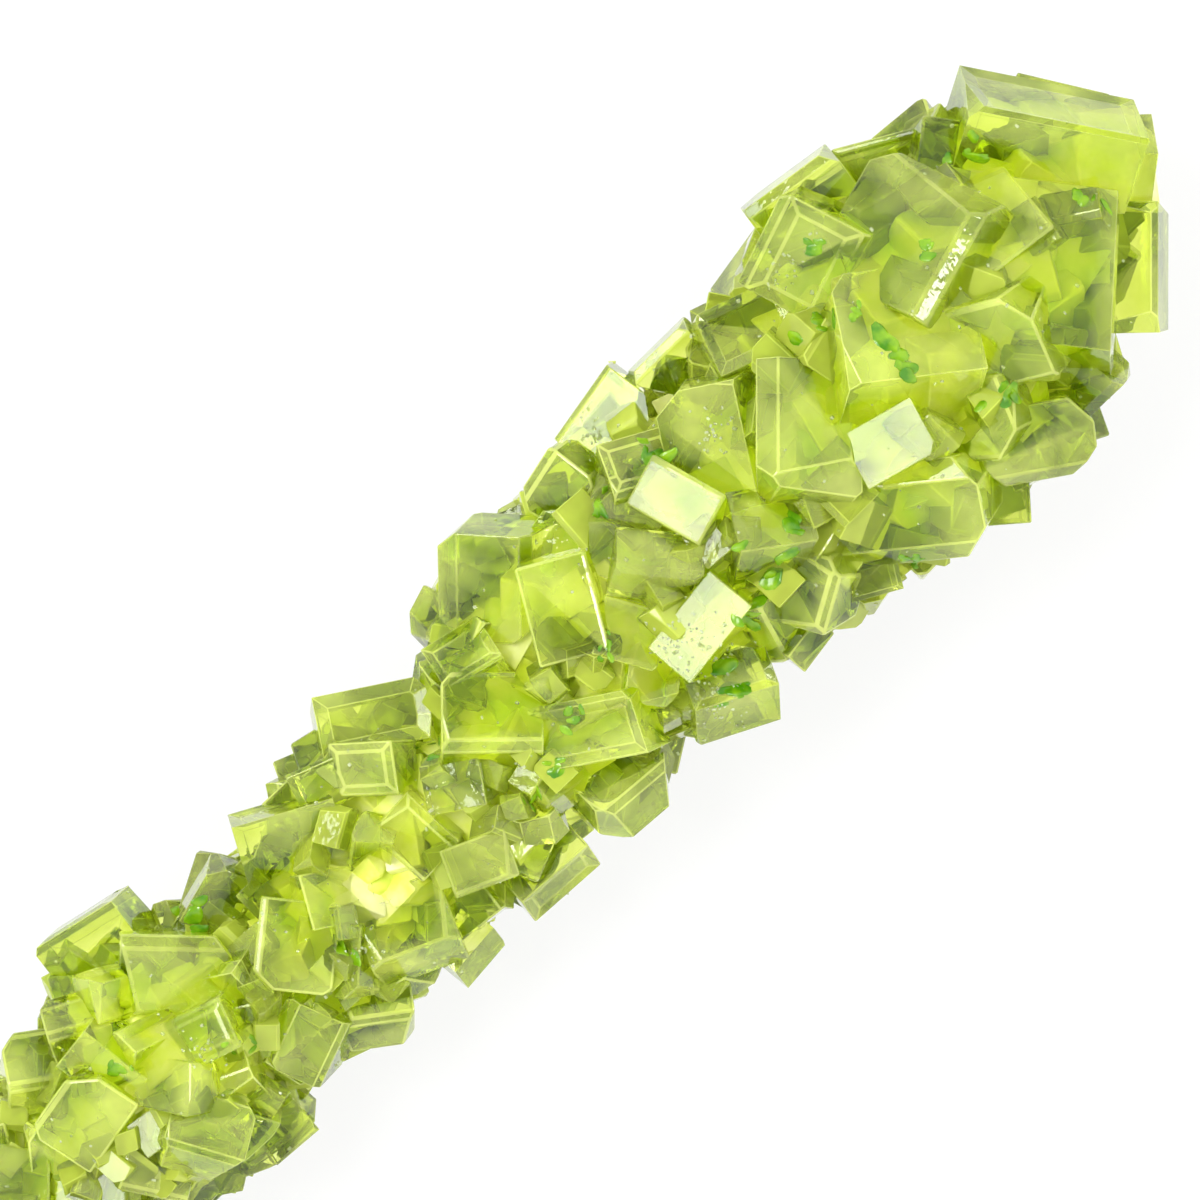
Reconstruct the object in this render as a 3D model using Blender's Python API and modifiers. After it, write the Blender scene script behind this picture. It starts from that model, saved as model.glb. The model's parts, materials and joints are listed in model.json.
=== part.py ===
"""Rock candy stick: a thick crust of fused sugar crystals grown on a birch dowel.

It lies on its side: the dowel runs along X with the crusted tip towards +X, Z is up and the
part rests on three large crystals whose undersides are level. Metres, in the part's own frame:
the origin is the middle of the underside of the whole object's box.
"""
import math
import random

import bmesh
import bpy
from mathutils import Euler, Matrix, Vector

MM = 0.001

# Driving dimensions, in millimetres
STICK_LENGTH = 152.0      # a 6 in dowel
STICK_DIAMETER = 4.4      # 11/64 in
STICK_BURIED = 90.0       # length of dowel inside the crystals
STICK_ROUNDING = 0.5      # worn edge at the dowel's ends
STICK_SIDES = 32
BORE_GAP = 0.3            # clearance between the dowel and the sugar round it
CRUST_LENGTH = 100.0      # crystals, from the lowest to the tip
STEM_REACH = 8.2          # radius of the crust where it is thin
CLUMP_REACH = 12.0        # radius of the thick clump near the tip
CLUMP_PLACE = 83.0        # distance of the clump from the crust's lower end
STEM_FOOT_PLACE = 12.0    # distance of the foot under the stem from the same end
CORE_DEPTH = 3.4          # how far the fused core lies under the crust's outline
CORE_LEAST_RADIUS = STICK_DIAMETER / 2 + 0.9
CORE_START = 1.5          # places along the crust where the fused core starts and ends
CORE_END = CRUST_LENGTH - 4.5
CORE_RINGS = 16
CORE_SIDES = 14
BLOCK_SINK = 0.42         # share of a block's depth from the crust's outline down to its middle
FILL_SINK = 0.48          # the same for the crystals that fill the gaps, as a share of their size
BLOCK_ROLL = 14.0         # degrees, the most that a block leans to one side
GROUND_GAP = 0.6          # room that every crystal but the feet keeps to the ground
SEED = 11

# How far the crust reaches from the dowel's axis, seen from above, as rows of the distance from
# its lower end, the reach on the far side (+Y) and the reach on the near side (-Y)
OUTLINE = [
    (0, 5.0, 4.5), (6, 6.5, 6.0), (12, 7.0, 8.0), (18, 9.5, 9.0), (24, 6.5, 7.0), (31, 6.5, 8.0),
    (38, 8.5, 8.0), (44, 6.5, 8.5), (52, 10.0, 8.5), (62, 10.5, 9.0), (70, 9.5, 10.0),
    (77, 11.0, 11.5), (CLUMP_PLACE, CLUMP_REACH, CLUMP_REACH), (88, 9.5, 10.0), (92, 8.5, 7.5),
    (96, 6.5, 4.5), (CRUST_LENGTH, 1.5, 1.0),
]

# Sugar crystals are monoclinic: unit cell edges in angstroms and the angle between a and c
CELL_A, CELL_B, CELL_C = 10.86, 8.70, 7.76
CELL_ANGLE = math.radians(102.94)

# Large crystals that give the stick its character, seen from above. Each row is the place along
# the crust and across it, the length and breadth, the turn in the plane of view and the tip
# towards the viewer, in millimetres and degrees. Each sits on the crust's outline.
TIP_BLOCKS = [
    (94.5, -2.5, 10.0, 8.0, -55, 0), (93.5, 5.0, 8.0, 5.5, 30, 10), (89.5, 3.0, 10.0, 7.5, 40, -5),
    (90.5, -5.5, 5.0, 4.0, -60, 8), (85.5, -3.0, 8.5, 8.0, 20, 5), (87.5, 8.0, 5.5, 5.0, 0, 10),
]
CLUMP_BLOCKS = [
    (82.5, -9.5, 6.5, 5.0, 0, 10), (81.5, -7.0, 6.0, 5.5, 15, 10), (79.0, -1.5, 6.5, 5.5, 0, 10),
    (73.0, 0.0, 8.0, 6.5, 45, -5), (77.0, 3.0, 5.0, 4.0, -45, 0), (74.5, 7.0, 9.5, 6.0, -35, 5),
    (83.0, 9.0, 6.0, 4.5, -35, 0), (78.5, 10.0, 4.5, 3.5, -40, 10),
]
NECK_BLOCKS = [
    (74.5, -6.5, 5.5, 4.0, -15, 0), (70.5, -8.0, 5.0, 5.0, 0, 20), (64.5, -8.5, 5.5, 4.5, -20, 0),
    (69.5, -3.5, 6.0, 5.0, 50, 0), (70.0, 8.0, 4.0, 3.0, -30, 0), (67.0, 6.5, 5.0, 4.0, 30, 0),
    (60.5, 4.0, 5.5, 4.0, -30, 5), (58.5, 7.0, 5.5, 5.0, -30, 0), (60.0, -2.0, 5.0, 4.0, -45, 0),
]
STEM_BLOCKS = [
    (53.5, -7.0, 6.5, 6.0, 20, 10), (49.0, -5.0, 4.0, 3.0, -10, 0), (52.0, 3.5, 7.0, 4.0, -30, 5),
    (50.5, 7.0, 5.0, 4.5, 0, 10), (47.0, -1.0, 6.0, 5.0, -45, 0), (41.0, -6.0, 7.0, 4.0, -35, 0),
    (42.5, 6.5, 5.0, 3.5, 5, 0), (39.5, -3.5, 4.0, 4.0, -40, 5), (34.0, 4.0, 6.0, 4.5, -25, 5),
    (33.0, -4.5, 6.0, 4.5, -25, 5), (29.5, 1.0, 5.0, 5.0, 40, 0), (29.5, 6.0, 4.5, 3.5, -35, 0),
]
LOWER_BLOCKS = [
    (22.5, -3.5, 7.0, 5.0, -50, 5), (20.5, -7.5, 6.0, 5.5, -5, 0), (21.0, 0.0, 5.5, 3.5, -50, 0),
    (25.5, 5.5, 4.5, 4.0, 20, 5), (15.0, 3.0, 7.0, 4.0, -90, 5), (12.5, -5.5, 4.5, 3.5, -30, 5),
    (9.0, 0.0, 6.0, 5.0, -40, 0), (8.0, 5.5, 5.0, 4.0, 30, 5), (5.0, -4.5, 5.0, 4.0, 60, 5),
]

# Three crystals on the underside carry the part. Each row is the place along and across, the
# length and breadth and the turn; their undersides are level and lie on the ground.
FEET = [
    (CLUMP_PLACE, -4.5, 6.5, 5.5, 25), (CLUMP_PLACE - 2.0, 4.5, 6.5, 5.5, -40),
    (STEM_FOOT_PLACE, 0.0, 6.0, 5.0, 10),
]
FOOT_DEPTH = 6.0

# Crystals that close the crust all round, in passes of falling size: how many, their size as a
# share of the grain, and how closely they may sit as a share of two neighbours' mean size
FILL_PASSES = [(85, (0.85, 1.15), 0.66), (40, (0.5, 0.7), 0.6)]
STEM_GRAIN, CLUMP_GRAIN = 4.2, 7.0   # typical crystal on the stem and in the clump

AXIS_LIFT = math.atan2(CLUMP_REACH - STEM_REACH, CLUMP_PLACE - STEM_FOOT_PLACE)


def clear_scene():
    for item in list(bpy.data.objects):
        bpy.data.objects.remove(item)


def make_collection(name):
    collection = bpy.data.collections.new(name)
    bpy.context.scene.collection.children.link(collection)
    return collection


def make_material(name, colour, roughness, transmission=0.0):
    material = bpy.data.materials.new(name)
    material.use_nodes = True
    shader = material.node_tree.nodes["Principled BSDF"]
    shader.inputs["Base Color"].default_value = (*colour, 1.0)
    shader.inputs["Roughness"].default_value = roughness
    shader.inputs["Metallic"].default_value = 0.0
    shader.inputs["Transmission Weight"].default_value = transmission
    return material


def make_guide(name, mesh, collection):
    """An object that is only joined to or cut from a part."""
    guide = bpy.data.objects.new(name, mesh)
    collection.objects.link(guide)
    guide.hide_render = True
    guide.display_type = "WIRE"
    return guide


def reach_at(place, side=0.0):
    """How far the crust reaches at a place along it, eased between the outline's rows.

    Side runs from -1 on the far side of the dowel through 0 above and below it to 1 on the near side.
    """
    for (start, *first), (end, *last) in zip(OUTLINE, OUTLINE[1:]):
        if place <= end:
            break
    share = min(1.0, max(0.0, (place - start) / (end - start)))
    share = share * share * (3.0 - 2.0 * share)
    far, near = (begin + (finish - begin) * share for begin, finish in zip(first, last))
    return far + (near - far) * (1.0 + side) / 2


def grain_at(place):
    share = min(1.0, max(0.0, (place - 0.45 * CRUST_LENGTH) / (0.35 * CRUST_LENGTH)))
    return STEM_GRAIN + (CLUMP_GRAIN - STEM_GRAIN) * share


def lattice_face(h, k, l):
    """Outward direction of a crystal face, from its Miller indices."""
    along_a = h / (CELL_A * math.sin(CELL_ANGLE)) - l * math.cos(CELL_ANGLE) / (CELL_C * math.sin(CELL_ANGLE))
    return Vector((along_a, k / CELL_B, l / CELL_C)).normalized()


def both_ways(faces):
    return [face * sign for face in faces for sign in (1, -1)]


LONG_EDGE_FACES = both_ways([lattice_face(1, 0, 1), lattice_face(1, 0, -1)])
END_FACES = both_ways([lattice_face(1, 1, 0), lattice_face(1, -1, 0)])
CORNER_FACES = both_ways([lattice_face(0, 1, 1), lattice_face(0, -1, 1)])


def sugar_crystal(length, breadth, depth, rng):
    """A closed crystal centred on the origin: a sheared block with its edges and corners cut.

    Its length runs along Y, the b axis of sugar, and its large faces look along Z.
    """
    shear = -math.tan(CELL_ANGLE - math.pi / 2) * depth
    crystal = bmesh.new()
    bmesh.ops.create_cube(crystal, size=1.0)
    for vert in crystal.verts:
        vert.co = Vector((vert.co.x * breadth + vert.co.z * shear, vert.co.y * length, vert.co.z * depth))
    corners = [vert.co.copy() for vert in crystal.verts]
    cuts = ((LONG_EDGE_FACES, 0.5, 0.16), (END_FACES, 0.45, 0.3), (CORNER_FACES, 0.3, 0.22))
    for faces, chance, deepest in cuts:
        for face in faces:
            cut = rng.uniform(0.03, deepest)
            if rng.random() > chance:
                continue
            reach = max(face.dot(corner) for corner in corners) * (1.0 - cut)
            slice_off(crystal, face * reach, face)
    bmesh.ops.dissolve_degenerate(crystal, dist=0.05, edges=crystal.edges)
    bmesh.ops.recalc_face_normals(crystal, faces=crystal.faces)
    return crystal


def slice_off(crystal, point, normal):
    """Cut away what lies beyond a plane and close the cut with one flat face."""
    parts = crystal.verts[:] + crystal.edges[:] + crystal.faces[:]
    cut = bmesh.ops.bisect_plane(
        crystal, geom=parts, dist=1e-4, plane_co=point, plane_no=normal, clear_outer=True,
    )
    rim = [part for part in cut["geom_cut"] if isinstance(part, bmesh.types.BMEdge)]
    if rim:
        bmesh.ops.edgeloop_fill(crystal, edges=rim)


def to_ground_frame():
    """From the crust's own frame, axis along X, to the part lying with its feet level."""
    lift = Matrix.Rotation(-AXIS_LIFT, 4, "Y")
    centre_height = STEM_REACH - STEM_FOOT_PLACE * math.sin(AXIS_LIFT)
    return Matrix.Translation((0.0, 0.0, centre_height)) @ lift


class Crust:
    """Collects the crystals' meshes and remembers where they lie."""

    def __init__(self, collection):
        self.collection = collection
        self.rng = random.Random(SEED)
        self.placed = []

    def add(self, crystal, pose, size, on_ground=False):
        crystal.transform(pose)
        lowest = min(vert.co.z for vert in crystal.verts)
        rise = -lowest if on_ground else max(0.0, GROUND_GAP - lowest)
        bmesh.ops.translate(crystal, vec=(0.0, 0.0, rise), verts=crystal.verts)
        bmesh.ops.scale(crystal, vec=(MM, MM, MM), verts=crystal.verts)
        mesh = bpy.data.meshes.new(f"crystal_{len(self.placed):03d}")
        crystal.to_mesh(mesh)
        crystal.free()
        make_guide(mesh.name, mesh, self.collection)
        self.placed.append((pose.translation.copy(), size))

    def add_block(self, along, across, length, breadth, turn, tip):
        """A named crystal on the side that looks up, lying on the crust's outline."""
        rng = self.rng
        depth = min(length, breadth) * rng.uniform(0.8, 1.0)
        reach = reach_at(along, across / CLUMP_REACH)
        top = math.sqrt(max(0.0, reach ** 2 - across ** 2))
        place = Matrix.Translation((along, -across, top - BLOCK_SINK * depth))
        facing = Matrix.Rotation(math.radians(turn - 90), 4, "Z") @ Matrix.Rotation(math.radians(tip), 4, "X")
        roll = Matrix.Rotation(math.radians(rng.uniform(-BLOCK_ROLL, BLOCK_ROLL)), 4, "Y")
        crystal = sugar_crystal(length, breadth, depth, rng)
        self.add(crystal, to_ground_frame() @ place @ facing @ roll, (length + breadth) / 2)

    def add_foot(self, along, across, length, breadth, turn):
        crystal = sugar_crystal(length, breadth, FOOT_DEPTH, self.rng)
        centre = to_ground_frame() @ Vector((along, -across, 0.0))
        place = Matrix.Translation((centre.x, centre.y, 0.5 * FOOT_DEPTH))
        self.add(crystal, place @ Matrix.Rotation(math.radians(turn), 4, "Z"), (length + breadth) / 2, True)

    def add_fill(self, count, size_range, spacing):
        """Crystals of one size range, turned any way, wherever the crust still has room."""
        rng = self.rng
        tries_left = 40 * count
        while count and tries_left:
            tries_left -= 1
            along = rng.uniform(1.0, CRUST_LENGTH)
            angle = rng.uniform(0.0, 2.0 * math.pi)
            size = grain_at(along) * rng.uniform(*size_range)
            along -= size * max(0.0, along / CRUST_LENGTH - 0.5)
            out = max(0.0, reach_at(along, -math.cos(angle)) * rng.uniform(0.92, 1.0) - FILL_SINK * size)
            place = to_ground_frame() @ Vector((along, out * math.cos(angle), out * math.sin(angle)))
            if any((place - other).length < spacing * (size + wide) / 2 for other, wide in self.placed):
                continue
            facing = Euler([rng.uniform(0.0, 2.0 * math.pi) for _ in range(3)]).to_matrix().to_4x4()
            shares = ((1.0, 1.4), (0.8, 1.05), (0.7, 0.95))
            length, breadth, depth = (size * rng.uniform(*share) for share in shares)
            self.add(sugar_crystal(length, breadth, depth, rng), Matrix.Translation(place) @ facing, size)
            count -= 1


def make_core(collection):
    """The fused sugar under the crust: a profile turned round the dowel's axis."""
    profile = []
    for step in range(CORE_RINGS + 1):
        along = CORE_START + (CORE_END - CORE_START) * step / CORE_RINGS
        profile.append((max(CORE_LEAST_RADIUS, reach_at(along) - CORE_DEPTH), along))
    mesh = bpy.data.meshes.new("fused_core")
    outline = bmesh.new()
    path = [(0.0, profile[0][1])] + profile + [(0.0, profile[-1][1])]
    verts = [outline.verts.new((radius * MM, 0.0, along * MM)) for radius, along in reversed(path)]
    for first, second in zip(verts, verts[1:]):
        outline.edges.new((first, second))
    outline.to_mesh(mesh)
    outline.free()
    core = make_guide("fused_core", mesh, collection)
    turned = core.modifiers.new("Turned", "SCREW")
    turned.steps = turned.render_steps = CORE_SIDES
    turned.use_merge_vertices = True
    turned.merge_threshold = 0.00001
    turned.use_normal_calculate = True
    scale = Matrix.Diagonal((MM, MM, MM, 1.0))
    core.matrix_world = scale @ to_ground_frame() @ scale.inverted() @ Matrix.Rotation(math.pi / 2, 4, "Y")
    return core


def frozen_mesh(item, name):
    """The object's evaluated mesh, in world space."""
    bpy.context.view_layer.update()
    evaluated = item.evaluated_get(bpy.context.evaluated_depsgraph_get())
    mesh = bpy.data.meshes.new_from_object(evaluated)
    mesh.transform(item.matrix_world)
    mesh.name = name
    return mesh


def keep_outer_shell(mesh):
    """Delete the closed pockets that the fused crystals leave between them."""
    shell = bmesh.new()
    shell.from_mesh(mesh)
    groups = []
    waiting = set(shell.faces)
    while waiting:
        group = [waiting.pop()]
        for face in group:
            for edge in face.edges:
                for other in edge.link_faces:
                    if other in waiting:
                        waiting.remove(other)
                        group.append(other)
        groups.append(group)
    outer = max(groups, key=len)
    inner = [face for group in groups if group is not outer for face in group]
    bmesh.ops.delete(shell, geom=inner, context="FACES")
    shell.to_mesh(mesh)
    shell.free()


def lay_out_crust(blanks):
    crust = Crust(blanks)
    for foot in FEET:
        crust.add_foot(*foot)
    for blocks in (TIP_BLOCKS, CLUMP_BLOCKS, NECK_BLOCKS, STEM_BLOCKS, LOWER_BLOCKS):
        for block in blocks:
            crust.add_block(*block)
    for count, size_range, spacing in FILL_PASSES:
        crust.add_fill(count, size_range, spacing)


def make_stick(name, diameter, start, end, collection):
    """A dowel on the crust's axis, between two places along it."""
    bpy.ops.mesh.primitive_cylinder_add(
        vertices=STICK_SIDES, radius=diameter / 2 * MM, depth=(end - start) * MM,
    )
    stick = bpy.context.active_object
    stick.name = name
    stick.data.name = name
    middle = to_ground_frame() @ Vector(((start + end) / 2, 0.0, 0.0))
    stick.location = middle * MM
    stick.rotation_euler = (0.0, math.pi / 2 - AXIS_LIFT, 0.0)
    for owner in list(stick.users_collection):
        owner.objects.unlink(stick)
    collection.objects.link(stick)
    return stick


def make_crystals(parts, cutters, blanks):
    core = make_core(cutters)
    fused = core.modifiers.new("Fused", "BOOLEAN")
    fused.operation = "UNION"
    fused.operand_type = "COLLECTION"
    fused.collection = blanks
    mesh = frozen_mesh(core, "crystals")
    keep_outer_shell(mesh)
    crystals = bpy.data.objects.new("crystals", mesh)
    parts.objects.link(crystals)
    below = -10.0
    bore = make_stick("stick_bore", STICK_DIAMETER + 2 * BORE_GAP, below, STICK_BURIED + BORE_GAP, cutters)
    bore.hide_render = True
    bore.display_type = "WIRE"
    bored = crystals.modifiers.new("Bore", "BOOLEAN")
    bored.operation = "DIFFERENCE"
    bored.object = bore
    crystals.data.materials.append(make_material("lime_sugar", (0.47, 0.60, 0.06), 0.08, 0.6))
    return crystals


def hang_on_origin(items, followers):
    """Parent everything to an empty and move it so that the origin is the middle of the underside
    of the parts' common box."""
    points = [vert.co for item in items for vert in frozen_mesh(item, "measured").vertices]
    low, high = (Vector([pick(point[axis] for point in points) for axis in range(3)]) for pick in (min, max))
    middle = bpy.data.objects.new("middle_of_underside", None)
    bpy.context.scene.collection.objects.link(middle)
    for item in items + followers:
        item.parent = middle
    middle.location = (-(low.x + high.x) / 2, -(low.y + high.y) / 2, -low.z)


def main():
    clear_scene()
    parts = make_collection("rock_candy_stick")
    cutters = make_collection("cutters")
    blanks = make_collection("crystal_blanks")
    lay_out_crust(blanks)
    crystals = make_crystals(parts, cutters, blanks)
    stick = make_stick("stick", STICK_DIAMETER, STICK_BURIED - STICK_LENGTH, STICK_BURIED, parts)
    rounding = stick.modifiers.new("Worn ends", "BEVEL")
    rounding.width = STICK_ROUNDING * MM
    rounding.segments = 2
    rounding.limit_method = "ANGLE"
    stick.data.materials.append(make_material("birch", (0.73, 0.55, 0.36), 0.6))
    hang_on_origin([crystals, stick], [crystals.modifiers["Bore"].object])


main()
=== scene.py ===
"""Looks of the rock candy stick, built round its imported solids. Metres, Z up."""
import json
import math
import random

import bmesh
import bpy
from mathutils import Matrix, Vector, noise

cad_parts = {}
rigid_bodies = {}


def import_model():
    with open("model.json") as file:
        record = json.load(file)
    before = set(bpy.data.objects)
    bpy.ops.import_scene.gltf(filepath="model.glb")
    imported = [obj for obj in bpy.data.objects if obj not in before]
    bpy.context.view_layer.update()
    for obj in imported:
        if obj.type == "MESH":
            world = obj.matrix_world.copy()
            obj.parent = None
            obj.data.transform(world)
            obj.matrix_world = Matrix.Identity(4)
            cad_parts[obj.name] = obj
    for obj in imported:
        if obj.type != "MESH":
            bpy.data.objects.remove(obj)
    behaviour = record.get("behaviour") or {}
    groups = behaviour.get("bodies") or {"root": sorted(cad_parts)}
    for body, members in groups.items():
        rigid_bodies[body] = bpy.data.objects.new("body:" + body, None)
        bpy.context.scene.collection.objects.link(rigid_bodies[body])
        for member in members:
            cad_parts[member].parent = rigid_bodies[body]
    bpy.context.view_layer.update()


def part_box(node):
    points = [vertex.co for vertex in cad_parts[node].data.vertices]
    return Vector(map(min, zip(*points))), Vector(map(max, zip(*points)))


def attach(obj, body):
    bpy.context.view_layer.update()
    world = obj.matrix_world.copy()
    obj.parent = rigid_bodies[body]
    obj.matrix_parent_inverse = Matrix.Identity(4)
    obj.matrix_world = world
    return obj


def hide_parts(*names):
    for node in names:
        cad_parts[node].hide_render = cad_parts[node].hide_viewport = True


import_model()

MM = 0.001

# ---------------------------------------------------------------------------------------------
# The stick: a plain birch dowel, cut to length and tumbled, so its ends are a little rounded.
# The sugar grows round one end of it; the other end is the handle. The grain runs along it.
# ---------------------------------------------------------------------------------------------
stick_low, stick_high = (Vector(corner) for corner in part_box("stick"))
STICK_DIAMETER = stick_high.y - stick_low.y
STICK_LIFT = math.atan2(stick_high.z - stick_low.z - STICK_DIAMETER, stick_high.x - stick_low.x)
STICK_LENGTH = (stick_high.x - stick_low.x - STICK_DIAMETER * math.sin(STICK_LIFT)) / math.cos(STICK_LIFT)
STICK_SIDES = 48
STICK_RINGS = 150
END_ROUNDING = 0.6 * MM
BIRCH_PALE = (0.80, 0.66, 0.46, 1.0)
BIRCH_DARK = (0.62, 0.44, 0.26, 1.0)

stick_middle = (stick_low + stick_high) / 2
stick_frame = Matrix.Translation(stick_middle) @ Matrix.Rotation(-STICK_LIFT, 4, "Y")


def add_piece(name, shape, material, sharp_angle=None):
    """Turn a bmesh into an object that rides with the stick."""
    mesh = bpy.data.meshes.new(name)
    shape.to_mesh(mesh)
    shape.free()
    piece = bpy.data.objects.new(name, mesh)
    bpy.context.scene.collection.objects.link(piece)
    mesh.materials.append(material)
    if sharp_angle is not None:
        mesh.shade_smooth()
        mesh.set_sharp_from_angle(angle=math.radians(sharp_angle))
    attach(piece, "root")
    return piece


def turned_dowel():
    """A closed dowel along X with rounded ends and faint lengthwise grain in its surface."""
    dowel = bmesh.new()
    rings = []
    for step in range(STICK_RINGS + 1):
        along = STICK_LENGTH * (step / STICK_RINGS - 0.5)
        from_end = min(STICK_LENGTH * step / STICK_RINGS, STICK_LENGTH * (1 - step / STICK_RINGS))
        inset = 0.0
        if from_end < END_ROUNDING:
            inset = END_ROUNDING - math.sqrt(END_ROUNDING ** 2 - (END_ROUNDING - from_end) ** 2)
        ring = []
        for side in range(STICK_SIDES):
            angle = 2 * math.pi * side / STICK_SIDES
            grain = noise.noise(Vector((along * 40, math.cos(angle) * 5, math.sin(angle) * 5)))
            radius = STICK_DIAMETER / 2 - inset - 0.03 * MM * (1 + grain)
            ring.append(dowel.verts.new((along, radius * math.cos(angle), radius * math.sin(angle))))
        rings.append(ring)
    for first, second in zip(rings, rings[1:]):
        for side in range(STICK_SIDES):
            after = (side + 1) % STICK_SIDES
            dowel.faces.new((first[side], first[after], second[after], second[side]))
    dowel.faces.new(rings[0])
    dowel.faces.new(rings[-1])
    bmesh.ops.recalc_face_normals(dowel, faces=dowel.faces)
    dowel.transform(stick_frame)
    return dowel


def node_of(material, kind, **settings):
    node = material.node_tree.nodes.new(kind)
    for setting, value in settings.items():
        if hasattr(node, setting):
            setattr(node, setting, value)
        else:
            node.inputs[setting.replace("_", " ")].default_value = value
    return node


def join(material, source, target):
    material.node_tree.links.new(source, target)


def new_material(name):
    material = bpy.data.materials.new(name)
    material.use_nodes = True
    return material, material.node_tree.nodes["Principled BSDF"]


def birch_finish():
    """Sanded birch: pale wood with long thin darker pores and a dry surface."""
    material, wood = new_material("sanded_birch")
    place = node_of(material, "ShaderNodeTexCoord")
    stretch = node_of(material, "ShaderNodeMapping", Scale=(60.0, 1400.0, 1400.0))
    join(material, place.outputs["Object"], stretch.inputs["Vector"])
    pores = node_of(material, "ShaderNodeTexNoise", Scale=1.0, Detail=4.0, Roughness=0.6)
    join(material, stretch.outputs["Vector"], pores.inputs["Vector"])
    tone = node_of(material, "ShaderNodeValToRGB")
    tone.color_ramp.elements[0].position = 0.32
    tone.color_ramp.elements[0].color = BIRCH_DARK
    tone.color_ramp.elements[1].position = 0.58
    tone.color_ramp.elements[1].color = BIRCH_PALE
    join(material, pores.outputs["Fac"], tone.inputs["Fac"])
    join(material, tone.outputs["Color"], wood.inputs["Base Color"])
    relief = node_of(material, "ShaderNodeBump", Strength=0.3, Distance=0.05 * MM)
    join(material, pores.outputs["Fac"], relief.inputs["Height"])
    join(material, relief.outputs["Normal"], wood.inputs["Normal"])
    wood.inputs["Roughness"].default_value = 0.62
    return material


stick = add_piece("birch_stick", turned_dowel(), birch_finish(), 50)
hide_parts("stick")

# ---------------------------------------------------------------------------------------------
# The fused heart: seed sugar that the stick was rolled in, and the first crystals on it, grown
# into one cloudy lime mass. It shows through the clear crystals and in the gaps between them.
# ---------------------------------------------------------------------------------------------
CRUST_LENGTH = 100.0          # millimetres, as are the places and sizes of all the crystals
STICK_BURIED = 90.0           # length of the stick inside the crystals
# Rows of the distance from the crust's lower end, and its reach on the far and the near side
OUTLINE = [
    (0, 5.0, 4.5), (6, 6.5, 6.0), (12, 7.0, 8.0), (18, 9.5, 9.0), (24, 6.5, 7.0), (31, 6.5, 8.0),
    (38, 8.5, 8.0), (44, 6.5, 8.5), (52, 10.0, 8.5), (62, 10.5, 9.0), (70, 9.5, 10.0),
    (77, 11.0, 11.5), (83, 12.0, 12.0), (88, 9.5, 10.0), (92, 8.5, 7.5), (96, 6.5, 4.5), (100, 1.5, 1.0),
]
GROUND_GAP = 0.3              # room that every crystal but the level ones underneath keeps to the table
HEART_DEPTH = 3.6             # how far the heart lies under the crust's outline
HEART_LEAST_RADIUS = 2.9
HEART_START = 1.5
HEART_END = CRUST_LENGTH - 5.5
HEART_RINGS = 150
HEART_SIDES = 64

crust_start = Vector((STICK_LENGTH / 2 - STICK_BURIED * MM, 0.0, 0.0)) / MM
crust_frame = (
    Matrix.Translation(stick_middle / MM)
    @ Matrix.Rotation(-STICK_LIFT, 4, "Y")
    @ Matrix.Translation(crust_start)
)


def reach_at(along, side=0.0):
    """Reach of the crust from the stick's axis; side is -1 on the far side and 1 on the near."""
    for (start, *first), (end, *last) in zip(OUTLINE, OUTLINE[1:]):
        if along <= end:
            break
    share = min(1.0, max(0.0, (along - start) / (end - start)))
    share = share * share * (3.0 - 2.0 * share)
    far, near = (begin + (finish - begin) * share for begin, finish in zip(first, last))
    return far + (near - far) * (1.0 + side) / 2


def fused_heart():
    """A lumpy closed column along the stick, a few millimetres under the crust's outline."""
    heart = bmesh.new()
    loops = []
    for step in range(HEART_RINGS + 1):
        along = HEART_START + (HEART_END - HEART_START) * step / HEART_RINGS
        closing = min(1.0, 0.35 + (HEART_RINGS - step) / 10, 0.4 + step / 8)
        loop = []
        for side in range(HEART_SIDES):
            angle = 2 * math.pi * side / HEART_SIDES
            spot = Vector((along, math.cos(angle) * 7, math.sin(angle) * 7))
            lumps = noise.noise(spot * 0.35) * 1.2 + noise.noise(spot * 0.9) * 0.6
            core = (reach_at(along, -math.cos(angle)) - HEART_DEPTH) * closing
            radius = max(HEART_LEAST_RADIUS, core + lumps)
            loop.append(heart.verts.new((along, radius * math.cos(angle), radius * math.sin(angle))))
        loops.append(loop)
    for first, second in zip(loops, loops[1:]):
        for side in range(HEART_SIDES):
            after = (side + 1) % HEART_SIDES
            heart.faces.new((first[side], first[after], second[after], second[side]))
    heart.faces.new(loops[0])
    heart.faces.new(loops[-1])
    bmesh.ops.recalc_face_normals(heart, faces=heart.faces)
    heart.transform(crust_frame)
    bmesh.ops.scale(heart, vec=(MM, MM, MM), verts=heart.verts)
    return heart


def srgb(red, green, blue):
    """Linear colour of an sRGB colour given in 0 to 255."""
    linear = []
    for channel in (red, green, blue):
        share = channel / 255
        if share <= 0.04045:
            linear.append(share / 12.92)
        else:
            linear.append(((share + 0.055) / 1.055) ** 2.4)
    return (*linear, 1.0)


LIME_DEEP = srgb(214, 236, 50)
LIME = srgb(238, 248, 110)
LIME_PALE = srgb(250, 253, 190)


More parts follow.
